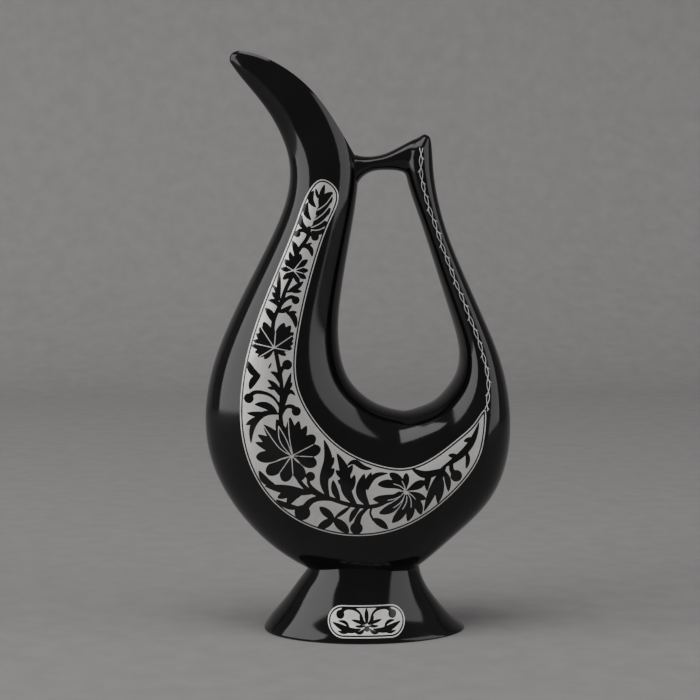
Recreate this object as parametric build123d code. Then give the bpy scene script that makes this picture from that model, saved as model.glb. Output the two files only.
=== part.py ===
from build123d import *
from math import cos, pi, sin
import os

# Inlaid black ewer: a hollow crescent body with a horn-shaped spout, a solid handle arm, a flared oval
# foot, and silver let flush into the front and back. Millimetres, +Z up, the front faces -Y. The ewer is
# drawn about its foot's axis, and moved at the end so that the origin is under the middle of its width.

WALL = 3.0                 # thickness of the cast walls
INLAY = 0.5                # depth of the silver in its pocket
WIRE = 0.5                 # width of an inlaid wire
GAP = 0.5                  # black metal left between a border wire and its sheet
SPIGOT = 9.0               # how far the handle's spigot reaches into the hollow right limb
SEAT = 1.5                 # how deep the bridge is let into the spout's wall
FOOT_TO_CENTRE = 3.4       # from the foot's axis to the middle of the ewer's whole width
CLEAR = 60.0               # a depth past the ewer's front
SKY = 330.0                # a height past the ewer's top

# The crescent's cross-sections, from the spout's tip round the belly and up the handle arm to the thumb
# horn. Each is an oval across the band: its point on the outer edge, its point on the edge towards the
# loop, and its half depth.
SECTIONS = [
    ((-70.6, 297.6), (-66.0, 302.2), 1.6),
    ((-66.6, 291.6), (-57.6, 301.6), 4.2),
    ((-59.2, 282.4), (-43.8, 297.4), 6.6),
    ((-49.8, 270.2), (-26.0, 285.6), 9.4),
    ((-42.8, 257.2), (-12.2, 267.6), 11.8),
    ((-39.0, 243.2), (-4.2, 246.6), 14.4),
    ((-40.4, 226.6), (-4.4, 226.4), 16.8),
    ((-48.2, 206.4), (-7.6, 206.2), 19.0),
    ((-60.4, 182.2), (-11.6, 182.2), 22.0),
    ((-73.2, 155.2), (-13.8, 157.4), 25.4),
    ((-82.0, 125.4), (-9.4, 134.2), 28.4),
    ((-80.8, 92.2), (1.0, 122.2), 30.6),
    ((-61.6, 57.2), (10.6, 117.2), 31.8),
    ((-28.0, 31.6), (17.6, 115.4), 32.0),
    ((10.0, 25.0), (22.6, 115.2), 32.0),
    ((43.6, 46.2), (30.4, 117.4), 31.2),
    ((66.2, 69.0), (38.0, 121.4), 29.2),
    ((74.9, 91.2), (43.8, 127.6), 26.6),
    ((76.0, 116.0), (48.2, 135.4), 22.8),
    ((71.9, 138.4), (49.5, 146.4), 18.6),
    ((62.8, 162.0), (45.4, 163.6), 15.0),
    ((50.4, 189.4), (37.4, 188.4), 11.6),
    ((40.2, 216.6), (27.8, 217.2), 9.8),
    ((35.8, 238.8), (21.2, 238.0), 8.8),
    ((34.9, 251.0), (22.4, 252.6), 6.6),
    ((34.2, 257.6), (30.8, 259.4), 2.2),
]
HOLLOW_SECTIONS = slice(1, 20)         # the sections that the hollow runs through
SPOUT_SECTIONS = slice(1, 12)          # the sections of the spout and the left limb

# The bridge from the spout to the handle: at each X its top, its underside and its half depth. It
# flares into the spout, and its top climbs to the thumb horn.
BRIDGE = [
    (-13.0, 250.0, 224.0, 8.6),
    (-6.0, 248.7, 230.2, 8.4),
    (-2.0, 247.7, 236.0, 7.4),
    (4.0, 247.6, 239.7, 6.6),
    (11.0, 249.2, 240.4, 6.2),
    (18.0, 252.6, 239.8, 6.2),
    (26.0, 256.8, 237.0, 6.0),
]

# Places on the band are given as a section number, whole or between two, and a share of the band's
# width there: 0 is its outer edge, 1 the edge towards the loop.

# The mouth's rim, from the spout's tip down to the bridge, and how far the cut runs on past the tip.
MOUTH_RIM = [(0, 0.7), (1, 0.9), (2, 0.83), (3, 0.83), (4, 0.85), (4.8, 0.94), (5.1, 1.03)]
MOUTH_OVERSHOOT = 3.0

# The seam between the body and the handle crosses the right limb, and the handle's side of it is
# closed off up the middle of the loop.
SEAM = [(30.0, 134.0), (100.0, 99.0)]
LOOP_LINE = [(10.0, 200.0), (20.0, 154.0)]

# The foot's oval at each height: left and right reach from the foot's axis, and half depth.
FOOT = [
    (0.0, -53.4, 53.6, 39.0),
    (4.0, -51.4, 48.6, 36.6),
    (9.0, -47.8, 43.0, 33.0),
    (15.0, -42.6, 37.8, 29.4),
    (21.0, -38.0, 33.4, 26.4),
    (27.0, -33.6, 30.4, 24.0),
    (33.0, -29.4, 28.8, 22.2),
    (42.0, -28.4, 28.6, 21.4),
]

# The silver panel: its rounded top, the shares between which it lies at sections down the left limb and
# round the belly, and its tip at the foot of the arm.
PANEL_TOP = (5.5, 0.5)
PANEL_EDGES = [
    (5.8, 0.25, 0.68),
    (6.5, 0.11, 0.68),
    (7.5, 0.12, 0.65),
    (9, 0.20, 0.65),
    (10, 0.22, 0.65),
    (11, 0.22, 0.67),
    (12, 0.21, 0.69),
    (13, 0.28, 0.71),
    (14, 0.36, 0.71),
    (15, 0.36, 0.69),
    (16, 0.40, 0.68),
    (17, 0.47, 0.61),
]
PANEL_TIP = (17.5, 0.53)

# The rosettes in the panel: place on the band, radius, number of petals.
ROSETTES = [
    ((7.7, 0.40), 6.0, 9),
    ((9.2, 0.45), 7.0, 8),
    ((11.4, 0.45), 12.5, 11),
    ((12.8, 0.35), 4.5, 4),
    ((14, 0.58), 9.5, 10),
]
SCALLOP = 0.84             # the reach of the notches between a rosette's petals, against its radius
PETAL_WIRE_MIDDLE = 0.6    # where the wires between the petals lie, and how long they are, against
PETAL_WIRE_LENGTH = 0.42   # the rosette's radius

# The twisted pair of wires winds about the arm's middle, from the thumb horn down past the seam.
VINE_SECTIONS = [24, 23, 22, 21, 20, 19, 18, 17.5]
VINE_SHARE = 0.5
VINE_CROSSINGS = 17
VINE_SWING = 1.1           # how far each wire swings from the line

# The foot's cartouche is a flat-sided oval with round ends.
CARTOUCHE_CENTRE = (-0.8, 10.4)
CARTOUCHE_WIDTH, CARTOUCHE_HEIGHT = 39.6, 15.0


def half_oval(outer, inner, depth, inset=0.0):
    """The front half of an oval across the band, closed on the middle plane and drawn in by inset."""
    outer = Vector(outer[0], 0, outer[1])
    inner = Vector(inner[0], 0, inner[1])
    across = (outer - inner).normalized() * inset
    outer, inner = outer - across, inner + across
    bulge = Vector(0, (depth - inset) * 4 / 3, 0)
    front = Edge.make_bezier(outer, outer - bulge, inner - bulge, inner)
    return Wire([front, Edge.make_line(inner, outer)])


def half_crescent(inset=0.0, sections=slice(None)):
    """The front half of the band, lofted through its cross-sections."""
    return Solid.make_loft([half_oval(*section, inset) for section in SECTIONS[sections]])


def foot_form(inset=0.0):
    """The foot's flared oval, drawn in by inset."""
    ovals = []
    for height, left, right, depth in FOOT:
        plane = Plane(origin=((left + right) / 2, 0, height))
        oval = Ellipse((right - left) / 2 - inset, depth - inset)
        ovals.append(Wire([plane.from_local_coords(oval.edge())]))
    return Solid.make_loft(ovals)


def flat(points):
    """Points given in X and Z, on the middle plane."""
    return [Vector(x, 0, z) for x, z in points]


def place(section, share):
    """The point on the middle plane at a place on the band."""
    before = min(int(section), len(SECTIONS) - 2)
    edges = []
    for side in (0, 1):
        start, end = flat([SECTIONS[before][side], SECTIONS[before + 1][side]])
        edges.append(start + (end - start) * (section - before))
    outer, inner = edges
    return outer + (inner - outer) * share


def prism(face):
    """A face on the middle plane made solid forwards, past the ewer's front."""
    return extrude(face, amount=CLEAR, dir=(0, -1, 0))


def above_seam(drop=0.0):
    """The region that the handle takes, its lower edge shifted down by drop."""
    (x0, z0), (x1, z1) = SEAM
    corners = [(x0, z0 - drop), (x1, z1 - drop), (x1, SKY), (LOOP_LINE[0][0], SKY), *LOOP_LINE]
    return prism(Face(Wire.make_polygon(flat(corners))))


def mouth_cutter():
    """Everything on the open side of the rim."""
    rim = [place(*spot) for spot in MOUTH_RIM]
    rim[0] += (rim[0] - rim[1]).normalized() * MOUTH_OVERSHOOT
    start, end = rim[0], rim[-1]
    side = LOOP_LINE[0][0]
    corners = flat([(side, end.Z), (side, SKY), (start.X, SKY)])
    sky = Wire.make_polygon([end, *corners, start], close=False)
    return prism(Face(Wire([Edge.make_spline(rim), *sky.edges()])))


def closed_face(points, inset=0.0):
    """A smooth closed outline through the points, which run anticlockwise, drawn in by inset."""
    ring = Edge.make_spline(points, periodic=True)
    count = 2 * len(points)
    places = []
    for i in range(count):
        along = ring.tangent_at(i / count)
        places.append(ring.position_at(i / count) + Vector(-along.Z, 0, along.X) * inset)
    half = len(points)
    return Face(Wire([Edge.make_spline(places[:half + 1]), Edge.make_spline(places[half:] + places[:1])]))


def panel_face(inset=0.0):
    """The silver panel's outline: down its outer side to the tip, and back up the loop's side."""
    outer = [place(section, share) for section, share, _ in PANEL_EDGES]
    inner = [place(section, share) for section, _, share in reversed(PANEL_EDGES)]
    return closed_face([place(*PANEL_TOP), *outer, place(*PANEL_TIP), *inner], inset)


def cartouche_face(inset=0.0):
    stadium = SlotOverall(CARTOUCHE_WIDTH - 2 * inset, CARTOUCHE_HEIGHT - 2 * inset)
    x, z = CARTOUCHE_CENTRE
    return Plane.XZ.from_local_coords(Pos(x, z) * stadium.face())


def rosette_face(spot, radius, petals):
    """A rosette's scalloped outline."""
    points = []
    for i in range(2 * petals):
        angle = pi * i / petals
        reach = radius if i % 2 == 0 else SCALLOP * radius
        points.append(place(*spot) + Vector(reach * sin(angle), 0, reach * cos(angle)))
    return closed_face(points)


def petal_wires(spot, radius, petals):
    """Short radial wires that divide a rosette's petals."""
    centre = place(*spot)
    wires = []
    for i in range(petals):
        wire = Pos(0, PETAL_WIRE_MIDDLE * radius) * Rectangle(WIRE, PETAL_WIRE_LENGTH * radius)
        turned = Pos(centre.X, centre.Z) * Rot(0, 0, -360 * (i + 0.5) / petals) * wire
        wires.append(prism(Plane.XZ.from_local_coords(turned.face())))
    return wires


def vine_wire(side):
    """One wire of the twisted pair, which starts at the given side of the vine's line."""
    line = Edge.make_spline([place(section, VINE_SHARE) for section in VINE_SECTIONS])
    left, right = [], []
    steps = 2 * VINE_CROSSINGS
    for i in range(steps + 1):
        along = line.tangent_at(i / steps)
        across = Vector(along.Z, 0, -along.X)
        middle = line.position_at(i / steps) + across * side * VINE_SWING * cos(pi * i / 2)
        left.append(middle - across * WIRE / 2)
        right.append(middle + across * WIRE / 2)
    edges = [Edge.make_spline(left), Edge.make_line(left[-1], right[-1]),
             Edge.make_spline(right), Edge.make_line(right[0], left[0])]
    return prism(Face(Wire(edges)))


def build_pockets():
    """Cutters for the front's pockets: each reaches from the pocket's floor out past the surface."""
    body_floor = half_crescent(INLAY)
    sheet_inset = WIRE + GAP
    windows = [prism(rosette_face(*rosette)) for rosette in ROSETTES]
    petals = [wire for rosette in ROSETTES for wire in petal_wires(*rosette)]
    vine = (vine_wire(1) + vine_wire(-1)) & above_seam()
    cartouche_border = prism(cartouche_face()) - prism(cartouche_face(WIRE))
    return {
        "panel_sheet": prism(panel_face(sheet_inset)) - windows - body_floor,
        "panel_border": prism(panel_face()) - prism(panel_face(WIRE)) - body_floor,
        "petal_wires": Compound(petals) - body_floor,
        "vine_wires": vine - body_floor,
        "foot_cartouche": prism(cartouche_face(sheet_inset)) - foot_form(INLAY),
        "foot_border": cartouche_border - foot_form(INLAY),
    }


def build_castings(pockets):
    """The front half of the body and of the handle, cut on the middle plane."""
    ewer = half_crescent() - mouth_cutter()
    hollow = half_crescent(WALL, HOLLOW_SECTIONS)
    bridge = Solid.make_loft([half_oval((x, top), (x, under), depth) for x, top, under, depth in BRIDGE])
    bridge = bridge - half_crescent(SEAT, SPOUT_SECTIONS)
    spigot = (hollow & above_seam(SPIGOT)) - above_seam()
    handle = (ewer & above_seam()) + bridge + spigot
    body = ewer - above_seam() - hollow - bridge
    for name in ("panel_sheet", "panel_border", "petal_wires"):
        body = body - pockets[name].solids()
    return body, handle - pockets["vine_wires"].solids()


def build_foot(pockets):
    belly = half_crescent()
    foot = foot_form() - foot_form(WALL) - belly - mirror(belly, about=Plane.XZ)
    for name in ("foot_cartouche", "foot_border"):
        foot = foot - pockets[name] - mirror(pockets[name], about=Plane.XZ)
    return foot


def build_parts():
    """Every piece, by name; the back's are the front's mirrored."""
    pockets = build_pockets()
    body, handle = build_castings(pockets)
    parts = {
        "body_front_half": body,
        "body_back_half": mirror(body, about=Plane.XZ),
        "handle": handle + mirror(handle, about=Plane.XZ),
        "foot": build_foot(pockets),
    }
    for name, pocket in pockets.items():
        silver = pocket & (foot_form() if name.startswith("foot") else half_crescent())
        parts["front_" + name] = silver
        parts["back_" + name] = mirror(silver, about=Plane.XZ)
    return parts


os.makedirs("parts", exist_ok=True)
for name, solid in build_parts().items():
    solid = Pos(FOOT_TO_CENTRE, 0, 0) * solid
    print(name, "solids", len(solid.solids()), "volume", round(solid.volume, 1), "valid", solid.is_valid)
    export_step(solid, f"parts/{name}.step")
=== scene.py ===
from math import cos, pi, radians, sin

import bpy
import numpy as np
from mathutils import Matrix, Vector
from mathutils.bvhtree import BVHTree


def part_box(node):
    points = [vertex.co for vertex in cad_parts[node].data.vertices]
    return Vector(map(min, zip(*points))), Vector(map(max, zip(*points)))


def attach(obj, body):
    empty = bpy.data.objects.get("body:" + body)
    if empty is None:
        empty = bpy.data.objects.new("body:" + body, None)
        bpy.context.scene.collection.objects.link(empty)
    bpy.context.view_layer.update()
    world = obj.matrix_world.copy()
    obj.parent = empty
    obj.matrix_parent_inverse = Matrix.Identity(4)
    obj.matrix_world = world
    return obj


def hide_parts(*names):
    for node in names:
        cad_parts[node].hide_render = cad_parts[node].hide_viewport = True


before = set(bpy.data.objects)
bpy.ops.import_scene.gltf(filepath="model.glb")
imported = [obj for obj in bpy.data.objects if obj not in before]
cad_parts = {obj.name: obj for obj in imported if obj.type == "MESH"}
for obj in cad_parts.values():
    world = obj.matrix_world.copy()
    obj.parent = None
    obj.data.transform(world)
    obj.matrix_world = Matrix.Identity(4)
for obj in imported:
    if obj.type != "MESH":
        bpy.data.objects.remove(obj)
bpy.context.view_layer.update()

# Inlaid black ewer. The ewer's lengths are millimetres about the foot's axis, as it is designed, and
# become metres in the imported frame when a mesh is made. The stage, light and camera are in metres.
BODY = "root"

WALL = 3.0
WALL_TO_WIDTH = 0.25       # towards the tip the wall is at most this share of the band's width
WALL_TO_DEPTH = 0.5        # and this share of its half depth
WIRE = 0.55                # width of an inlaid wire
GAP = 0.75                 # black metal between a border wire and its sheet
PROUD = 0.05               # how far the silver stands above the casting
SUNK = 0.3                 # how deep the silver goes into it
TIP = 0.1                  # radius of a leaf's tip
CELL = 0.34                # grid on which the silver's outlines are found
CUT_MARGIN = 0.05          # share of a cell that an outline keeps from the cell's corners
IN_FRONT = 100.0           # a distance in front of the ewer
CREASE = 40                # degrees past which an edge is sharp
OVAL_STEPS = 64            # points round half an oval
BRIDGE_ROWS = 60
BLEND_CELL = 0.6           # grid on which the arm and the bridge are blended
BLEND_PASSES = 45
ROW_LENGTH = 1.2           # spacing of the ovals along the band

# The band's sections: point on the outer edge, point on the loop's edge, half depth.
SECTIONS = [
    ((-70.6, 297.6), (-66.0, 302.2), 1.6),
    ((-66.6, 291.6), (-57.6, 301.6), 4.2),
    ((-59.2, 282.4), (-43.8, 297.4), 6.6),
    ((-49.8, 270.2), (-26.0, 285.6), 9.4),
    ((-42.8, 257.2), (-12.2, 267.6), 11.8),
    ((-39.0, 243.2), (-4.2, 246.6), 14.4),
    ((-40.4, 226.6), (-4.4, 226.4), 16.8),
    ((-48.2, 206.4), (-7.6, 206.2), 19.0),
    ((-60.4, 182.2), (-11.6, 182.2), 22.0),
    ((-73.2, 155.2), (-13.8, 157.4), 25.4),
    ((-82.0, 125.4), (-9.4, 134.2), 28.4),
    ((-80.8, 92.2), (1.0, 122.2), 30.6),
    ((-61.6, 57.2), (10.6, 117.2), 31.8),
    ((-28.0, 31.6), (17.6, 115.4), 32.0),
    ((10.0, 25.0), (22.6, 115.2), 32.0),
    ((43.6, 46.2), (30.4, 117.4), 31.2),
    ((66.2, 69.0), (38.0, 121.4), 29.2),
    ((74.9, 91.2), (43.8, 127.6), 26.6),
    ((76.0, 116.0), (48.2, 135.4), 22.8),
    ((71.9, 138.4), (49.5, 146.4), 18.6),
    ((62.8, 162.0), (45.4, 163.6), 15.0),
    ((50.4, 189.4), (37.4, 188.4), 11.6),
    ((40.2, 216.6), (27.8, 217.2), 9.8),
    ((35.8, 238.8), (21.2, 238.0), 8.8),
    ((34.9, 251.0), (22.4, 252.6), 6.6),
    ((34.2, 257.6), (30.8, 259.4), 2.2),
]
LAST = len(SECTIONS) - 1
SEAM_SECTION = 17.5        # where the body ends and the handle begins
TIP_SECTION = 0.5          # the spout's tip is drawn with closer rows as far as this
TIP_ROW_LENGTH = 0.2
TIP_ROUNDING = 2.6         # length over which the tip swells
TIP_START = 0.1            # how far into that length the first row lies
SEAM_LAP = 0.3             # the handle's blended mesh starts inside the body

# The bridge: X, top, underside, half depth.
BRIDGE = [
    (-13.0, 250.0, 224.0, 8.6),
    (-6.0, 248.7, 230.2, 8.4),
    (-2.0, 247.7, 236.0, 7.4),
    (4.0, 247.6, 239.7, 6.6),
    (11.0, 249.2, 240.4, 6.2),
    (18.0, 252.6, 239.8, 6.2),
    (26.0, 256.8, 237.0, 6.0),
]

# The foot: height, left and right reach, half depth.
FOOT = [
    (0.0, -53.4, 53.6, 39.0),
    (4.0, -51.4, 48.6, 36.6),
    (9.0, -47.8, 43.0, 33.0),
    (15.0, -42.6, 37.8, 29.4),
    (21.0, -38.0, 33.4, 26.4),
    (27.0, -33.6, 30.4, 24.0),
    (33.0, -29.4, 28.8, 22.2),
    (42.0, -28.4, 28.6, 21.4),
]
FOOT_TOP = 37.0            # the foot ends inside the belly
FOOT_LIP = 1.5             # radius of its lower rim
FOOT_LIP_LEVELS = [0.0, 0.25, 0.7, 1.4]
FOOT_LEVELS = np.r_[FOOT_LIP_LEVELS, np.linspace(2.2, FOOT_TOP, 44)]
FOOT_STEPS = 160           # points round the foot

# Places on the band: section number, share of its width from the outer edge (0) to the loop's (1).
MOUTH_RIM = [(0, 0.86), (1, 0.87), (2, 0.85), (3, 0.84), (4, 0.86), (4.8, 0.94), (5.1, 1.0)]
PANEL_TOP = (5.5, 0.46)
PANEL_EDGES = [
    (5.8, 0.30, 0.70),
    (6.5, 0.24, 0.69),
    (7.5, 0.23, 0.63),
    (9, 0.24, 0.64),
    (10, 0.24, 0.64),
    (11, 0.22, 0.67),
    (12, 0.21, 0.69),
    (13, 0.28, 0.71),
    (14, 0.36, 0.71),
    (15, 0.36, 0.69),
    (16, 0.40, 0.68),
    (17, 0.47, 0.61),
]
PANEL_TIP = (17.5, 0.53)
VINE_SECTIONS = [24, 23, 22, 21, 20, 19, 18, 17.5]
VINE_SHARE = 0.5
VINE_CROSSINGS = 21
VINE_SWING = 0.75          # how far each wire swings from the line
VINE_WIRE = 0.42
SPUR_ASIDE, SPUR_ALONG = 1.6, 1.8      # reach of the spur at each crossing
SPUR_TIP = 0.3             # its width at the end
SPUR_START = 0.6           # where it leaves the vine, between one crossing and the next

CARTOUCHE_CENTRE = (-0.8, 10.4)
CARTOUCHE_WIDTH, CARTOUCHE_HEIGHT = 39.6, 15.0

# The parts of the drawing that hold each piece of silver: lower left and upper right.
PANEL_AREA = (-72, 50), (68, 242)
VINE_AREA = (20, 112), (70, 256)
CARTOUCHE_AREA = (-24, 1), (22, 20)

# From the foot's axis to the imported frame's X = 0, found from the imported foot.
FOOT_LOW, FOOT_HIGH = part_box("foot")
SHIFT = (FOOT_LOW.x + FOOT_HIGH.x) / 2 * 1000 - (FOOT[0][1] + FOOT[0][2]) / 2


# ---------------------------------------------------------------- curves

def spline(points, places, at):
    """Natural cubic through points at the given places, read at others."""
    points, places, at = (np.asarray(v, float) for v in (points, places, at))
    count = len(points)
    step = np.diff(places)
    matrix = np.eye(count)
    right = np.zeros((count, points.shape[1]))
    slope = np.diff(points, axis=0) / step[:, None]
    for i in range(1, count - 1):
        matrix[i, i - 1:i + 2] = step[i - 1], 2 * (step[i - 1] + step[i]), step[i]
        right[i] = 6 * (slope[i] - slope[i - 1])
    bend = np.linalg.solve(matrix, right)
    i = np.clip(np.searchsorted(places, at, side="right") - 1, 0, count - 2)
    a = ((places[i + 1] - at) / step[i])[:, None]
    b = 1 - a
    curve = ((a ** 3 - a) * bend[i] + (b ** 3 - b) * bend[i + 1]) * (step[i] ** 2)[:, None] / 6
    return a * points[i] + b * points[i + 1] + curve


def smooth_line(points, spacing=0.15):
    """A smooth line through a few points, as many points close together."""
    points = np.asarray(points, float)
    places = np.r_[0, np.cumsum(np.hypot(*np.diff(points, axis=0).T))]
    at = np.linspace(0, places[-1], int(places[-1] / spacing) + 2)
    if len(points) == 2:
        return points[0] + (points[1] - points[0]) * (at / places[-1])[:, None]
    return spline(points, places, at)


def smooth_ring(points, steps=10):
    """A smooth closed line, with steps points for each given one. A few points are carried on past each
    end, so that it closes smoothly."""
    points = np.asarray(points, float)
    wrapped = np.r_[points[-4:], points, points[:5]]
    places = np.r_[0, np.cumsum(np.hypot(*np.diff(wrapped, axis=0).T))]
    return spline(wrapped, places, np.linspace(places[4], places[-5], steps * len(points) + 1))[:-1]


def place(section, share):
    """The point on the middle plane at a place on the band."""
    before = min(int(section), LAST - 1)
    start, end = np.array(SECTIONS[before][:2]), np.array(SECTIONS[before + 1][:2])
    outer, inner = start + (end - start) * (section - before)
    return outer + (inner - outer) * share


# ---------------------------------------------------------------- castings

SECTION_ROWS = np.array([[*outer, *inner, depth] for outer, inner, depth in SECTIONS])
MIDDLES = (SECTION_ROWS[:, 0:2] + SECTION_ROWS[:, 2:4]) / 2
ALONG = np.r_[0, np.cumsum(np.hypot(*np.diff(MIDDLES, axis=0).T))]
NUMBERS = np.arange(len(SECTIONS))


def rows_between(start, end, spacing=ROW_LENGTH):
    """Section numbers evenly spaced along the band, and the section at each."""
    low, high = np.interp([start, end], NUMBERS, ALONG)
    along = np.linspace(low, high, int((high - low) / spacing) + 2)
    return np.interp(along, ALONG, NUMBERS), spline(SECTION_ROWS, ALONG, along)


def share_across(turn):
    """The share of an oval's width at a turn of 0 to 1 along its front."""
    return 3 * turn ** 2 - 2 * turn ** 3


def half_oval(row, inset, top_share, steps=OVAL_STEPS):
    """Points on the front of an oval, from its outer edge to the given share of its width."""
    outer, inner, depth = row[0:2], row[2:4], row[4]
    across = (outer - inner) / np.linalg.norm(outer - inner) * inset
    outer, inner = outer - across, inner + across
    turns = np.linspace(0, 1, 401)
    reach = np.interp(top_share, share_across(turns), turns)
    turn = (1 - np.cos(pi * np.linspace(0, 1, steps))) / 2 * reach
    places = outer + (inner - outer) * share_across(turn)[:, None]
    return np.c_[places[:, 0], -4 * turn * (1 - turn) * (depth - inset), places[:, 1]]


def metres(points):
    """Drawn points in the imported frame."""
    points = np.array(points, float)
    points[:, 0] += SHIFT
    return points / 1000


def link(name, data):
    """A new object in the scene."""
    obj = bpy.data.objects.new(name, data)
    bpy.context.scene.collection.objects.link(obj)
    return obj


def add_mesh(name, points, faces):
    """A smooth mesh from points in millimetres."""
    mesh = bpy.data.meshes.new(name)
    mesh.from_pydata(metres(points).tolist(), [], [tuple(int(i) for i in face) for face in faces])
    mesh.validate()
    mesh.shade_smooth()
    mesh.set_sharp_from_angle(angle=radians(CREASE))
    return link(name, mesh)


def band_faces(lower, upper, ring):
    """Quads between two closed rings of points, given by their numbers."""
    quads = []
    for i in range(ring):
        j = (i + 1) % ring
        quads.append((lower * ring + i, lower * ring + j, upper * ring + j, upper * ring + i))
    return quads


def tube_faces(rows, ring):
    """Quads between closed rings of points, and the two ends closed."""
    faces = []
    for r in range(rows - 1):
        faces += band_faces(r, r + 1, ring)
    faces.append(tuple(reversed(range(ring))))
    faces.append(tuple(range((rows - 1) * ring, rows * ring)))
    return faces


def mirrored(points, faces):
    """The back's copy of a front piece."""
    return np.asarray(points) * (1, -1, 1), [tuple(reversed(face)) for face in faces]


def round_tip(rows):
    """The first rows drawn in about their middles, so that the spout ends in a rounded nose."""
    middles = (rows[:, 0:2] + rows[:, 2:4]) / 2
    gone = np.hypot(*(middles - middles[0]).T)
    swell = np.sqrt(1 - (1 - np.minimum((gone + TIP_START) / TIP_ROUNDING, 1)) ** 2)[:, None]
    halves = (rows[:, 2:4] - rows[:, 0:2]) / 2 * swell
    return np.hstack([middles - halves, middles + halves, rows[:, 4:5] * swell])


def body_half():
    """The front half: a wall between the outer oval and the hollow, open along the mouth's rim."""
    tip_numbers, tip_rows = rows_between(0, TIP_SECTION, TIP_ROW_LENGTH)
    numbers, rows = rows_between(TIP_SECTION, SEAM_SECTION)
    numbers, rows = np.r_[tip_numbers[:-1], numbers], np.vstack([round_tip(tip_rows)[:-1], rows])
    rim_numbers, rim_shares = zip(*MOUTH_RIM)
    along_rim = np.minimum(numbers, rim_numbers[-1])
    rim = np.minimum(spline([[share] for share in rim_shares], rim_numbers, along_rim)[:, 0], 1.0)
    points = []
    for row, share in zip(rows, rim):
        width = np.linalg.norm(row[0:2] - row[2:4])
        wall = min(WALL, WALL_TO_WIDTH * width, WALL_TO_DEPTH * row[4])
        outside = half_oval(row, 0, share)
        inside_share = (share * width - wall) / (width - 2 * wall)
        inside = half_oval(row, wall, min(inside_share, 1.0))
        points += [outside, inside[::-1]]
    return np.vstack(points), tube_faces(len(rows), 2 * OVAL_STEPS)


def whole_oval(row):
    """Points right round an oval."""
    front = half_oval(row, 0, 1.0, OVAL_STEPS // 2)
    return np.vstack([front, (front * (1, -1, 1))[-2:0:-1]])


def handle_mesh():
    """The arm, from the seam up to the thumb horn, and the bridge from it to the spout."""
    ring = 2 * (OVAL_STEPS // 2) - 2
    _, arm = rows_between(SEAM_SECTION - SEAM_LAP, LAST)
    bridge = [[x, top, x, under, depth] for x, top, under, depth in BRIDGE]
    stations = np.linspace(0, 1, len(BRIDGE))
    points, faces = [], []
    for rows in (arm, spline(bridge, stations, np.linspace(0, 1, BRIDGE_ROWS))):
        before = len(points) * ring
        faces += [tuple(i + before for i in face) for face in tube_faces(len(rows), ring)]
        points += [whole_oval(row) for row in rows]
    rough = add_mesh("handle_parts", np.vstack(points), faces)
    remesh = rough.modifiers.new("blend", "REMESH")
    remesh.mode = "VOXEL"
    remesh.voxel_size = BLEND_CELL / 1000
    smooth = rough.modifiers.new("soften", "SMOOTH")
    smooth.factor = 0.5
    smooth.iterations = BLEND_PASSES
    finished = rough.evaluated_get(bpy.context.evaluated_depsgraph_get())
    blended = bpy.data.meshes.new_from_object(finished)
    blended.shade_smooth()
    handle = link("ewer_handle", blended)
    bpy.data.objects.remove(rough)
    return handle


def foot_rings(shape, insets):
    """The foot's ovals, level by level, each drawn in by its inset."""
    turns = np.linspace(0, 2 * pi, FOOT_STEPS + 1)[:-1]
    rings = []
    for level, (left, right, depth), inset in zip(FOOT_LEVELS, shape, insets):
        middle, half = (left + right) / 2, (right - left) / 2 - inset
        rings.append(np.c_[middle + half * np.cos(turns), (depth - inset) * np.sin(turns),
                           np.full(FOOT_STEPS, level)])
    return rings


def foot_mesh():
    """The flared foot: a wall with a rounded lower rim."""
    shape = spline([level[1:] for level in FOOT], [level[0] for level in FOOT], FOOT_LEVELS)
    lip = np.clip(FOOT_LIP - FOOT_LEVELS, 0, FOOT_LIP)
    outside = foot_rings(shape, FOOT_LIP - np.sqrt(FOOT_LIP ** 2 - lip ** 2))
    inside = foot_rings(shape, np.full(len(FOOT_LEVELS), WALL))
    rings = outside[::-1] + inside
    faces = []
    for r in range(len(rings)):
        faces += band_faces(r, (r + 1) % len(rings), FOOT_STEPS)
    return add_mesh("ewer_foot", np.vstack(rings), [tuple(reversed(face)) for face in faces])


# ---------------------------------------------------------------- drawing in silver

class Field:
    """Signed distances on a grid over the drawing: negative inside a shape."""

    def __init__(self, low, high):
        self.xs = np.arange(low[0], high[0], CELL)
        self.zs = np.arange(low[1], high[1], CELL)
        self.value = np.full((len(self.zs), len(self.xs)), 99.0)

    def window(self, low, high):
        """The part of the grid between two corners."""
        i0, i1 = np.searchsorted(self.xs, (low[0], high[0]))
        j0, j1 = np.searchsorted(self.zs, (low[1], high[1]))
        return slice(j0, j1), slice(i0, i1)

    def discs(self, centres, sizes):
        """Adds a row of discs, close enough together to read as one stroke."""
        for (cx, cz), size in zip(centres, sizes):
            reach = size + 3 * CELL
            area = self.window((cx - reach, cz - reach), (cx + reach, cz + reach))
            x, z = self.xs[area[1]][None, :], self.zs[area[0]][:, None]
            self.value[area] = np.minimum(self.value[area], np.hypot(x - cx, z - cz) - size)

    def stroke(self, points, start, end):
        """A line whose width runs from start to end."""
        line = smooth_line(points)
        self.discs(line, np.linspace(start, end, len(line)) / 2)

    def leaf(self, points, width, fullness=1.0):
        """A leaf pointed at both ends. fullness over 1 carries its width towards the tip."""
        line = smooth_line(points)
        u = np.linspace(0, 1, len(line)) ** fullness
        self.discs(line, width / 2 * np.abs(np.sin(pi * u)) ** 0.8 + TIP)

    def bulb(self, centre, radius):
        self.discs([centre], [radius])


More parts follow.
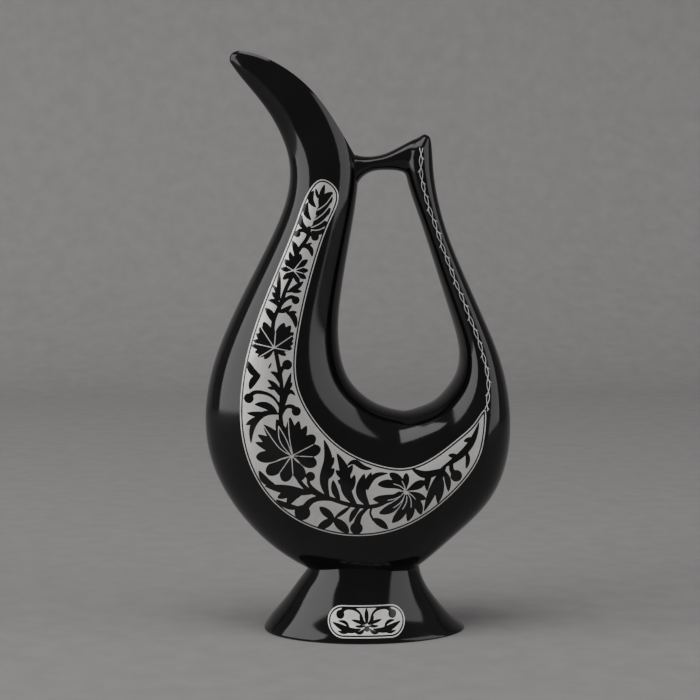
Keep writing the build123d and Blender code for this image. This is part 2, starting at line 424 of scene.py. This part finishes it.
def ring_distance(field, ring):
    """Signed distance from every grid point to a closed line."""
    x, z = np.meshgrid(field.xs, field.zs)
    nearest = np.full(x.shape, 1e9)
    inside = np.zeros(x.shape, bool)
    for (ax, az), (bx, bz) in zip(ring, np.roll(ring, -1, axis=0)):
        dx, dz = bx - ax, bz - az
        t = np.clip(((x - ax) * dx + (z - az) * dz) / (dx * dx + dz * dz), 0, 1)
        np.minimum(nearest, (x - ax - t * dx) ** 2 + (z - az - t * dz) ** 2, out=nearest)
        if az != bz:
            inside ^= ((az > z) != (bz > z)) & (x < ax + dx * (z - az) / dz)
    return np.where(inside, -1, 1) * np.sqrt(nearest)


def outline_mesh(field, value):
    """Faces over the part of the grid where value is negative: whole cells, and triangles along its edge."""
    corners = np.stack([value[:-1, :-1], value[:-1, 1:], value[1:, 1:], value[1:, :-1]])
    cells = np.argwhere(corners.min(0) < 0).tolist()
    points, lookup, faces = [], {}, []

    def corner(spot):
        if spot not in lookup:
            lookup[spot] = len(points)
            points.append((field.xs[spot[1]], field.zs[spot[0]]))
        return lookup[spot]

    def crossing(a, b):
        key = (a, b) if a < b else (b, a)
        if key not in lookup:
            (j0, i0), (j1, i1) = key
            v0, v1 = value[j0, i0], value[j1, i1]
            t = min(max(v0 / (v0 - v1), CUT_MARGIN), 1 - CUT_MARGIN)
            lookup[key] = len(points)
            points.append((field.xs[i0] + (field.xs[i1] - field.xs[i0]) * t,
                           field.zs[j0] + (field.zs[j1] - field.zs[j0]) * t))
        return lookup[key]

    for j, i in cells:
        square = [(j, i), (j, i + 1), (j + 1, i + 1), (j + 1, i)]
        if all(value[spot] < 0 for spot in square):
            faces.append([corner(spot) for spot in square])
            continue
        for three in ((0, 1, 2), (0, 2, 3)):
            spots = [square[k] for k in three]
            loop = []
            for k in range(3):
                a, b = spots[k], spots[(k + 1) % 3]
                va, vb = value[a], value[b]
                if va < 0:
                    loop.append(corner(a))
                if (va < 0) != (vb < 0):
                    loop.append(crossing(a, b))
            if len(loop) >= 3:
                faces.append(loop)
    return np.array(points), faces


def depths_behind(spots, surface):
    """How deep a casting's front lies at each spot of the drawing: nan where there is no casting."""
    starts = metres(np.c_[spots[:, 0], np.full(len(spots), -IN_FRONT), spots[:, 1]])
    away = Vector((0, 1, 0))
    depths = []
    for start in starts:
        hit = surface.ray_cast(Vector(start), away)[0]
        depths.append(hit.y * 1000 if hit else np.nan)
    return np.array(depths)


def closed_shell(faces, count):
    """The faces, the same faces count points further on and turned over, and the sides between them."""
    edges = {(a, b): True for face in faces for a, b in zip(face, face[1:] + face[:1])}
    sides = [(b, a, a + count, b + count) for a, b in edges if (b, a) not in edges]
    under = [tuple(i + count for i in reversed(face)) for face in faces]
    return [tuple(face) for face in faces] + under + sides


def inlay_mesh(name, field, value, surface, back):
    """A closed piece of silver over an outline, let into the casting that surface finds."""
    spots, faces = outline_mesh(field, value)
    depths = depths_behind(spots, surface)
    fine = ~np.isnan(depths)
    faces = [face for face in faces if fine[face].all()]
    depths = np.where(fine, depths, 0.0)
    top = np.c_[spots[:, 0], depths - PROUD, spots[:, 1]]
    under = np.c_[spots[:, 0], depths + SUNK, spots[:, 1]]
    shell = closed_shell(faces, len(spots))
    used = np.unique([i for face in shell for i in face])
    renumber = np.full(2 * len(spots), -1)
    renumber[used] = np.arange(len(used))
    points = np.vstack([top, under])[used]
    shell = [tuple(renumber[list(face)]) for face in shell]
    if back:
        points, shell = mirrored(points, shell)
    return add_mesh(name, points, shell)


# ---------------------------------------------------------------- the motif
# Black leaves and flowers left in the panel's silver, with silver veins let into them. Lengths are
# millimetres on the middle plane.

STEM = [
    (-29.5, 211), (-30, 207), (-34, 201), (-36.5, 196), (-37.5, 189.5), (-41.5, 180), (-44, 173),
    (-47.5, 165), (-47, 150), (-45.5, 142), (-44, 132), (-44, 124), (-44.5, 117), (-43, 108),
    (-39, 96), (-36, 85), (-30.5, 78.5), (-22, 75), (-12, 71.5), (-4, 70), (5, 70.5), (12.5, 74.5),
    (18, 77.5),
]

# Leaves: the points of the midline from base to tip, and the greatest width.
LEAVES = [
    # the sprig's left side, and its tip
    ([(-26, 221.5), (-28.5, 225), (-27, 230)], 2.8),
    ([(-28.5, 215), (-31, 219), (-30, 224)], 2.8),
    ([(-30, 210), (-33.5, 213.5), (-33, 217.5)], 2.6),
    ([(-25, 226), (-26, 231)], 1.4),
    ([(-24.5, 223), (-21.5, 233)], 2.4),
    # about the node between the sprig and the first lotus
    ([(-36, 195), (-36, 199), (-38, 204.5)], 3),
    ([(-33, 201), (-28, 203.5)], 1.4),
    ([(-32.5, 201.5), (-29.5, 201), (-28, 196.5)], 2.4),
    ([(-37.5, 192), (-39.5, 199)], 2.4),
    # below the first lotus
    ([(-44.5, 175.5), (-45, 182), (-44.5, 189)], 2),
    ([(-44.5, 177), (-48, 182)], 1.8),
    ([(-44.5, 174.5), (-48.5, 178.5)], 2.4),
    ([(-44, 170), (-46.5, 173.5), (-50.5, 174.5)], 2.4),
    ([(-41, 178.5), (-37, 180.5), (-32.5, 184)], 2.6),
    ([(-39, 179), (-33.5, 179)], 1.8),
    ([(-47.5, 163), (-49, 167), (-52, 170.5)], 3.4),
    ([(-48, 156), (-50.5, 159), (-52.5, 163.5)], 3.4),
    ([(-45.5, 168.5), (-41, 170), (-38.5, 172)], 2.4),
    ([(-42, 169), (-38, 166.5), (-36.5, 160.5)], 2.8),
    ([(-40.5, 168), (-36, 168.5)], 1.8),
    # down the stem to the great flower
    ([(-54.5, 136.5), (-58.5, 138.5), (-60.5, 143.5)], 3.4),
    ([(-54.5, 137), (-58, 134), (-60, 129.5)], 3.4),
    ([(-50.5, 140), (-49, 143)], 0.8),
    ([(-45, 133), (-46.5, 137), (-49.5, 138.5)], 2.2),
    ([(-44.5, 126), (-47, 131), (-51, 134.5)], 2.6),
    ([(-46.5, 130), (-51, 130.5)], 1.6),
    ([(-44, 118), (-42, 127), (-39, 138)], 3),
    ([(-42, 125), (-39.5, 128.5), (-37, 126.5)], 2),
    ([(-41, 129), (-38.5, 133)], 1.6),
    ([(-44.5, 117), (-52, 117.5), (-58, 112), (-59.5, 102)], 3),
    ([(-46, 117.5), (-52, 121.5), (-57.5, 122)], 3.4),
    ([(-50, 117.5), (-56, 117), (-61.5, 117.5)], 2.6),
    ([(-54, 116), (-62, 111.5)], 2.8),
    # between the great flower and the border
    ([(-47.5, 81), (-51, 82), (-55.5, 88)], 3.6),
    ([(-28.5, 76.5), (-38, 78), (-52.5, 80)], 4.6),
    ([(-38, 78), (-46, 74)], 3.8),
    ([(-34, 76), (-38, 75), (-41, 70)], 4),
    ([(-34, 69), (-40, 69.5), (-47, 73)], 3),
    # standing on the lower stem
    ([(-19.5, 73), (-22.5, 84), (-20.5, 93), (-22.5, 104)], 4.8),
    ([(-21, 89), (-17.5, 95)], 2.8),
    ([(-21.5, 84), (-17.5, 89.5)], 3),
    ([(-14.5, 73), (-17, 78), (-18, 83.5)], 3.2),
    ([(-5.5, 70), (-11, 78), (-12, 87), (-16, 97)], 5.4),
    ([(-12, 84), (-16.5, 88.5)], 2.6),
    ([(-11, 80), (-15.5, 83.5)], 2.6),
    ([(-12, 84), (-8, 91)], 2.8),
    ([(-9.5, 77), (-7, 86)], 3),
    ([(-11, 90.5), (-7.5, 92.5), (-3, 90), (2, 89)], 2.6),
    ([(0.5, 70), (-3.5, 76), (-2, 86.5)], 5),
    ([(-3, 75), (-5, 82.5)], 3),
    ([(-2, 78), (1.5, 87)], 3),
    ([(-0.5, 78), (3, 85), (10, 86.5)], 2.4),
    # hanging from the lower stem
    ([(-4, 70), (-7, 67), (-9.5, 61.5)], 2.8),
    ([(2, 63.5), (5, 62), (10, 58)], 3.6),
    ([(-9, 70), (-13, 67), (-17.5, 63.5)], 2),
    # right of the last flower
    ([(22, 89), (28, 86), (39, 89)], 3.6),
    ([(33, 88), (30.5, 84), (30, 77.5)], 3),
    ([(40, 91), (34, 80), (28.5, 67)], 4.2),
    ([(37, 86), (36.5, 78), (35.5, 71)], 4.2),
    ([(38.5, 88), (40.5, 83), (41, 77)], 3),
    ([(37, 89), (46, 94.5), (53, 102), (57, 112)], 3.4),
    ([(46, 95), (41, 95.5)], 2.2),
    ([(54, 104), (49, 102.5)], 2.2),
    ([(50, 98), (51, 93), (50, 88.5)], 2.2),
]

# The feathered right side of the sprig: its leaves' bases and tips, with a silver vein between each pair.
FEATHER = [
    ((-24.5, 222.5), (-17.5, 229)), ((-26, 217.5), (-17.5, 226.5)), ((-27.5, 212.5), (-18.5, 221)),
    ((-29, 210), (-20.5, 214)), ((-28, 210), (-22, 209.5)),
]
FEATHER_WIDTH = 4.4

# Scrolls: the stalk's points, its width at the start and end, and the bulb's radius at its end.
SCROLLS = [
    ([(-29.5, 207), (-32, 209.5), (-34.5, 209.5), (-35.5, 208)], 1.4, 2, 1.7),
    ([(-30, 207), (-28, 208), (-26.5, 206.5)], 1.4, 2.8, 2),
    ([(-45, 170), (-42, 174.5), (-38, 176), (-36.5, 174.5)], 1.4, 2.2, 2),
    ([(-44.5, 137), (-43.5, 140), (-41, 142)], 1.6, 2.6, 2.5),
    ([(-44.5, 120), (-48, 125.5), (-53.5, 128), (-58.5, 127.5), (-60.5, 125)], 1, 2.4, 2.5),
    ([(-44, 117), (-41, 121), (-38, 120.5), (-36.5, 118.5)], 1.6, 2.4, 2.3),
    ([(-23, 75.5), (-28, 79), (-30.5, 83), (-29.5, 85.5)], 2, 1.6, 2.4),
    ([(-11, 71.5), (-21, 74), (-28.5, 73), (-33.5, 66.5)], 1, 4, 4),
    ([(0, 69.5), (-4.5, 65), (-6, 58.5)], 1.4, 4, 3.2),
    ([(2, 70), (1, 66.5), (2.5, 63)], 1.1, 1.1, 0.7),
    ([(43, 93), (42.5, 88.5), (45, 85)], 1.8, 3, 3),
]

# Petals about a flower's centre: direction in degrees, length, width and sideways bow.
LOTUS = [
    (66, 9, 3.8, 0), (37, 9, 3, 0), (0, 7.5, 2.6, 0), (-33, 7.5, 2.8, 0), (-68, 7, 2.6, 0),
    (-140, 7, 2.6, 0), (172, 6.5, 2.4, 0), (128, 7, 3, 0),
]
SERRATED = [
    (68, 13.5, 4.6, 0), (53, 14, 4.2, 0), (38, 12.5, 3.8, 0), (27, 11, 3.4, 0), (14, 10, 3, 0),
    (-2, 9, 3, 0), (-33, 7, 2.4, 0), (112, 14, 4.6, 0), (126, 12.5, 4.2, 0), (142, 11.5, 3.8, 0),
    (160, 11, 3.4, 0), (175, 11.5, 3.2, 0), (193, 10, 3.2, 0), (208, 9.5, 2.8, 0), (228, 7.5, 2.4, 0),
]
CROWN = [
    (63, 17, 5, 0), (78, 18, 5.4, 0), (92, 19.5, 5.4, 0), (112, 20, 6, 0), (132, 21, 6, 0),
    (148, 20, 5, 0), (160, 19.5, 4.4, 0),
]
ROUND = [
    (40, 15, 6, 0), (14, 14.5, 6.2, 0), (-19, 12.5, 6.2, 0), (-66, 12.5, 6.4, 0), (-106, 13, 6.2, 0),
    (-143, 15, 6.6, 0), (183, 17.5, 6, 0),
]
CROSS = [
    (140, 9.5, 4, 0), (214, 10, 4.2, 0), (316, 10.5, 4.8, 0),
]
WHEEL = [
    (87, 9, 3, 0), (132, 12, 4, -0.1), (166, 14.5, 4.2, -0.12), (193, 17, 4.2, 0.1),
    (220, 17.5, 4.4, 0.12), (247, 17.5, 4.4, 0.14), (274, 15.5, 4, 0.14), (303, 14.5, 4, 0.12),
    (338, 11, 3.4, 0), (26, 11, 4, 0),
]

# Flowers: centre, petals, and how far out the petals are fullest (1 is half-way).
FLOWERS = [
    ((-37.5, 189.5), LOTUS, 1.2),
    ((-47.5, 150.5), SERRATED, 1.3),
    ((-39, 96), CROWN, 1.0),
    ((-39, 96), ROUND, 2.2),
    ((-17.5, 63.5), CROSS, 1.0),
    ((19, 77.5), WHEEL, 1.6),
]
VEINED = [(0, 0.75), (3, 0.85), (5, 0.6)]      # flowers with a vein between petals, and the veins' reach
VEIN_BOW = (0.4, -0.8)     # how far the middle of a vein in the feather is moved
VEIN_START, VEIN_END = 0.55, 0.45      # a vein's width
WIDE_APART = 60            # petals this many degrees apart have no vein between them
VEIN_EDGE = 0.02           # how far a vein stays inside the black

# Veins beyond those between the petals.
VEINS = [
    [(-45.5, 111), (-45, 104), (-40, 97)], [(-45.5, 111), (-42, 105), (-39, 97)],
    [(-40.5, 114), (-40, 105), (-38.5, 97)], [(-53, 111), (-49, 105), (-44, 99), (-39, 96)],
    [(-47.5, 150.5), (-55, 162)], [(-47.5, 150.5), (-46.5, 162)], [(-47.5, 150.5), (-38.5, 156.5)],
    [(-47.5, 150.5), (-59, 153)], [(-47.5, 150.5), (-40, 149)], [(-47.5, 150.5), (-55, 146)],
]


def heading(angle):
    """The direction at an angle in degrees, anticlockwise from +X."""
    return np.array([cos(radians(angle)), sin(radians(angle))])


def draw_petals(black, centre, petals, fullness):
    """Draws a flower's petals as leaves from its centre."""
    for angle, length, width, bow in petals:
        along, side = heading(angle), heading(angle + 90)
        middle = centre + (along / 2 + side * bow) * length
        black.leaf([centre, middle, centre + along * length], width, fullness)


def veins_between(centre, petals, reach):
    """Lines from a flower's centre out between neighbouring petals."""
    lines = []
    ordered = sorted((angle % 360, length, bow) for angle, length, _, bow in petals)
    turned = ordered[1:] + [(ordered[0][0] + 360, *ordered[0][1:])]
    for (a, length, bow), (b, next_length, next_bow) in zip(ordered, turned):
        if b - a < WIDE_APART:
            along, side = heading((a + b) / 2), heading((a + b) / 2 + 90)
            far = reach * min(length, next_length)
            middle = centre + (along / 2 + side * (bow + next_bow) / 2) * far
            lines.append([centre, middle, centre + along * far])
    return lines


def draw_motif(black, veins):
    """Draws the black motif and, apart, the silver veins in it."""
    lines = list(VEINS)
    black.stroke(STEM, 2, 2.2)
    for points, width in LEAVES:
        black.leaf(points, width)
    for base, tip in FEATHER:
        black.leaf([base, tip], FEATHER_WIDTH)
    for (low, low_tip), (high, high_tip) in zip(FEATHER[1:], FEATHER):
        start, end = (np.array(low) + high) / 2, (np.array(low_tip) + high_tip) / 2
        lines.append([start, (start + end) / 2 + VEIN_BOW, end])
    for points, start, end, radius in SCROLLS:
        black.stroke(points, start, end)
        black.bulb(points[-1], radius)
    for centre, petals, fullness in FLOWERS:
        draw_petals(black, np.array(centre, float), petals, fullness)
    for number, reach in VEINED:
        centre, petals, _ = FLOWERS[number]
        lines += veins_between(np.array(centre, float), petals, reach)
    for line in lines:
        veins.stroke(line, VEIN_START, VEIN_END)


def vine_field():
    """The twisted pair of wires, with a short spur at each crossing."""
    field = Field(*VINE_AREA)
    line = smooth_line([place(section, VINE_SHARE) for section in VINE_SECTIONS])
    along = np.gradient(line, axis=0)
    along /= np.linalg.norm(along, axis=1)[:, None]
    across = np.c_[along[:, 1], -along[:, 0]]
    lengths = np.r_[0, np.cumsum(np.hypot(*np.diff(line, axis=0).T))]
    swing = np.cos(pi * VINE_CROSSINGS * lengths / lengths[-1])[:, None] * VINE_SWING
    for side in (-1, 1):
        field.discs(line + across * side * swing, np.full(len(line), VINE_WIRE / 2))
    for crossing in range(VINE_CROSSINGS):
        i = int(np.searchsorted(lengths, lengths[-1] * (crossing + SPUR_START) / VINE_CROSSINGS))
        side = 1 if crossing % 3 == 1 else -1
        tip = line[i] + across[i] * side * SPUR_ASIDE + along[i] * SPUR_ALONG
        field.stroke([line[i], tip], VINE_WIRE, SPUR_TIP)
    return field


def stadium(field, inset):
    """Signed distance to the cartouche's outline, drawn in by inset."""
    x, z = np.meshgrid(field.xs, field.zs)
    straight = (CARTOUCHE_WIDTH - CARTOUCHE_HEIGHT) / 2
    beyond = np.maximum(np.abs(x - CARTOUCHE_CENTRE[0]) - straight, 0)
    return np.hypot(beyond, z - CARTOUCHE_CENTRE[1]) - CARTOUCHE_HEIGHT / 2 + inset


def draw_cartouche(black):
    """A lotus between two scrolls and two acanthus leaves, the same on both sides."""
    cx, cz = CARTOUCHE_CENTRE
    black.leaf([(cx, cz - 1), (cx, cz + 6)], 2.0)
    black.bulb((cx, cz - 3.3), 1.3)
    for side in (-1, 1):
        def spot(x, z):
            return cx + side * x, cz + z

        black.leaf([spot(0.4, -1), spot(2.5, 0.5), spot(3.4, 3)], 1.4)
        black.leaf([spot(0.6, -1.4), spot(4, -0.2), spot(7.8, 0.8)], 1.4)
        black.leaf([spot(0.8, -2), spot(3.6, -2.2), spot(6, -2)], 1.1)
        black.leaf([spot(1, -3), spot(3.5, -5), spot(6, -5)], 1.4)
        scroll = [spot(1.6, -0.6), spot(3.6, 4), spot(7.2, 6), spot(11.5, 5.6), spot(13.2, 3.8)]
        black.stroke(scroll, 0.7, 2.0)
        black.bulb(spot(13.4, 3.2), 2.1)
        black.leaf([spot(3, -3.4), spot(8, -4), spot(13, -2.6), spot(17.5, -0.4)], 2.6)
        black.leaf([spot(9, -3), spot(10.5, -0.8), spot(14.5, 0.2)], 1.4)
        black.leaf([spot(8, -3.6), spot(12, -5), spot(15, -4.2)], 1.2)


# ---------------------------------------------------------------- materials

def new_material(name):
    """A material with its nodes, links and principled shader."""
    material = bpy.data.materials.new(name)
    material.use_nodes = True
    nodes, links = material.node_tree.nodes, material.node_tree.links
    return material, nodes, links, nodes["Principled BSDF"]


def noise(nodes, links, scale, detail, roughness=0.55):
    """A noise texture on the object's own coordinates."""
    where = nodes.new("ShaderNodeTexCoord")
    texture = nodes.new("ShaderNodeTexNoise")
    texture.inputs["Scale"].default_value = scale
    texture.inputs["Detail"].default_value = detail
    texture.inputs["Roughness"].default_value = roughness
    links.new(where.outputs["Object"], texture.inputs["Vector"])
    return texture.outputs["Fac"]


def spread(nodes, links, source, low, high, start=0.3, end=0.7):
    """A texture's range stretched to run from low to high."""
    ramp = nodes.new("ShaderNodeMapRange")
    ramp.inputs["From Min"].default_value = start
    ramp.inputs["From Max"].default_value = end
    ramp.inputs["To Min"].default_value = low
    ramp.inputs["To Max"].default_value = high
    links.new(source, ramp.inputs["Value"])
    return ramp.outputs["Result"]


def tint(nodes, links, source, dark, light, start=0.3, end=0.7):
    """A texture's range turned into colours from dark to light."""
    ramp = nodes.new("ShaderNodeValToRGB")
    ramp.color_ramp.elements[0].position = start
    ramp.color_ramp.elements[0].color = (*dark, 1)
    ramp.color_ramp.elements[1].position = end
    ramp.color_ramp.elements[1].color = (*light, 1)
    links.new(source, ramp.inputs["Fac"])
    return ramp.outputs["Color"]


def add_bump(nodes, links, shader, source, strength, depth):
    """Fine relief from a texture."""
    bump = nodes.new("ShaderNodeBump")
    bump.inputs["Strength"].default_value = strength
    bump.inputs["Distance"].default_value = depth
    links.new(source, bump.inputs["Height"])
    links.new(bump.outputs["Normal"], shader.inputs["Normal"])


def black_patina():
    """Oiled black patina: deep gloss, faint clouding, and a trace of polishing marks."""
    material, nodes, links, shader = new_material("black_patina")
    shader.inputs["IOR"].default_value = 1.5
    clouds = noise(nodes, links, scale=38, detail=5)
    fine = noise(nodes, links, scale=900, detail=3)
    colour = tint(nodes, links, clouds, dark=(0.003, 0.003, 0.0035), light=(0.007, 0.0065, 0.0065))
    links.new(colour, shader.inputs["Base Color"])
    links.new(spread(nodes, links, clouds, low=0.07, high=0.13), shader.inputs["Roughness"])
    add_bump(nodes, links, shader, fine, strength=0.06, depth=0.0001)
    return material


def worn_silver():
    """Burnished silver: bright, with soft tarnish and a fine hammered grain."""
    material, nodes, links, shader = new_material("worn_silver")
    shader.inputs["Metallic"].default_value = 1.0
    tarnish = noise(nodes, links, scale=120, detail=6, roughness=0.65)
    grain = noise(nodes, links, scale=1400, detail=3)
    colour = tint(nodes, links, tarnish, dark=(0.74, 0.72, 0.69), light=(0.99, 0.985, 0.965))
    links.new(colour, shader.inputs["Base Color"])
    links.new(spread(nodes, links, tarnish, low=0.62, high=0.48), shader.inputs["Roughness"])
    add_bump(nodes, links, shader, grain, strength=0.18, depth=0.0001)
    return material


def floor_paper():
    """Plain matt paper with a faint grain."""
    material, nodes, links, shader = new_material("floor_paper")
    fibres = noise(nodes, links, scale=60, detail=4)
    colour = tint(nodes, links, fibres, dark=(0.34, 0.33, 0.325), light=(0.38, 0.37, 0.365))
    links.new(colour, shader.inputs["Base Color"])
    shader.inputs["Roughness"].default_value = 0.9
    return material


# ---------------------------------------------------------------- assembly

def adopt(piece, node, material):
    """Gives a piece its material, hangs it on the body, and hides the imported part of the node it stands in
    for.
    """
    piece.data.materials.clear()
    piece.data.materials.append(material)
    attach(piece, BODY)
    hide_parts(node)


def surface_of(obj):
    """A casting's surface, to cast rays at."""
    mesh = obj.data
    return BVHTree.FromPolygons([v.co for v in mesh.vertices], [tuple(p.vertices) for p in mesh.polygons])


def build_castings(black):
    """The four castings, by node."""
    points, faces = body_half()
    castings = {
        "body_front_half": add_mesh("ewer_body_front", points, faces),
        "body_back_half": add_mesh("ewer_body_back", *mirrored(points, faces)),
        "handle": handle_mesh(),
        "foot": foot_mesh(),
    }
    for node, piece in castings.items():
        adopt(piece, node, black)
    return castings


def panel_outline():
    """The panel's outline, down its outer side to the tip and back up the loop's side."""
    outer = [place(section, share) for section, share, _ in PANEL_EDGES]
    inner = [place(section, share) for section, _, share in reversed(PANEL_EDGES)]
    return smooth_ring([place(*PANEL_TOP), *outer, place(*PANEL_TIP), *inner])


def build_inlays(castings, silver):
    """Every piece of silver, on the front and on the back."""
    body, handle, foot = (surface_of(castings[node]) for node in ("body_front_half", "handle", "foot"))
    panel, veins = Field(*PANEL_AREA), Field(*PANEL_AREA)
    draw_motif(panel, veins)
    edge = ring_distance(panel, panel_outline())
    sheet_edge = edge + WIRE + GAP
    vine = vine_field()
    tag = Field(*CARTOUCHE_AREA)
    draw_cartouche(tag)
    vein_shape = np.maximum.reduce([veins.value, panel.value - VEIN_EDGE, sheet_edge])
    inlays = [
        ("panel_sheet", panel, np.maximum(sheet_edge, -panel.value), body),
        ("panel_border", panel, np.maximum(edge, -edge - WIRE), body),
        ("petal_wires", veins, vein_shape, body),
        ("vine_wires", vine, vine.value, handle),
        ("foot_cartouche", tag, np.maximum(stadium(tag, WIRE + GAP), -tag.value), foot),
        ("foot_border", tag, np.maximum(stadium(tag, 0), -stadium(tag, WIRE)), foot),
    ]
    for name, field, value, surface in inlays:
        for side in ("front", "back"):
            piece = inlay_mesh(f"silver_{side}_{name}", field, value, surface, side == "back")
            adopt(piece, f"{side}_{name}", silver)


# ---------------------------------------------------------------- stage, light and camera

EWER_MIDDLE = (0, 0, 0.15)
CAMERA_PLACE = (-0.0566, -0.9986, 0.235)
CAMERA_TARGET = (-0.0043, 0, 0.147)
LENS, SENSOR = 99, 36      # focal length and sensor width, in millimetres


def sweep():
    """A pale paper floor that curves up into a backdrop."""
    half_width, radius, front_y, back_y, top = 3.0, 0.5, -2.5, 1.6, 3.0
    bend = back_y - radius
    profile = [(front_y, 0.0), (bend, 0.0)]
    profile += [(bend + radius * sin(a), radius - radius * cos(a)) for a in np.linspace(0.1, pi / 2, 16)]
    profile += [(back_y, top)]
    points = [(x, y, z) for y, z in profile for x in (-half_width, half_width)]
    faces = [(2 * i, 2 * i + 1, 2 * i + 3, 2 * i + 2) for i in range(len(profile) - 1)]
    mesh = bpy.data.meshes.new("paper_sweep")
    mesh.from_pydata(points, [], faces)
    mesh.shade_smooth()
    mesh.materials.append(floor_paper())
    link("paper_sweep", mesh)


def aim_at(obj, where, target):
    """Puts a light or camera somewhere, turned towards a point."""
    obj.location = where
    obj.rotation_euler = (Vector(target) - Vector(where)).to_track_quat("-Z", "Y").to_euler()


def softbox(name, where, width, height, watts):
    """A wide soft light turned towards the ewer's middle."""
    light = bpy.data.lights.new(name, "AREA")
    light.shape = "RECTANGLE"
    light.size, light.size_y = width, height
    light.energy = watts
    aim_at(link(name, light), where, EWER_MIDDLE)


def studio():
    """Two windows and a smaller light overhead, in a dim grey room."""
    softbox("left_window", (-2.0, -0.75, 1.0), width=2.1, height=2.2, watts=36)
    softbox("right_window", (1.9, -0.85, 1.0), width=1.7, height=2.0, watts=15)
    softbox("sky", (-0.2, -0.6, 2.2), width=1.4, height=1.0, watts=12)
    world = bpy.data.worlds.new("studio_air")
    world.use_nodes = True
    world.node_tree.nodes["Background"].inputs["Color"].default_value = (0.15, 0.15, 0.155, 1)
    bpy.context.scene.world = world


def look():
    """The camera, where the photograph was taken from."""
    data = bpy.data.cameras.new("camera")
    data.lens, data.sensor_width = LENS, SENSOR
    camera = link("camera", data)
    aim_at(camera, CAMERA_PLACE, CAMERA_TARGET)
    bpy.context.scene.camera = camera


BLACK, SILVER = black_patina(), worn_silver()
build_inlays(build_castings(BLACK), SILVER)
sweep()
studio()
look()
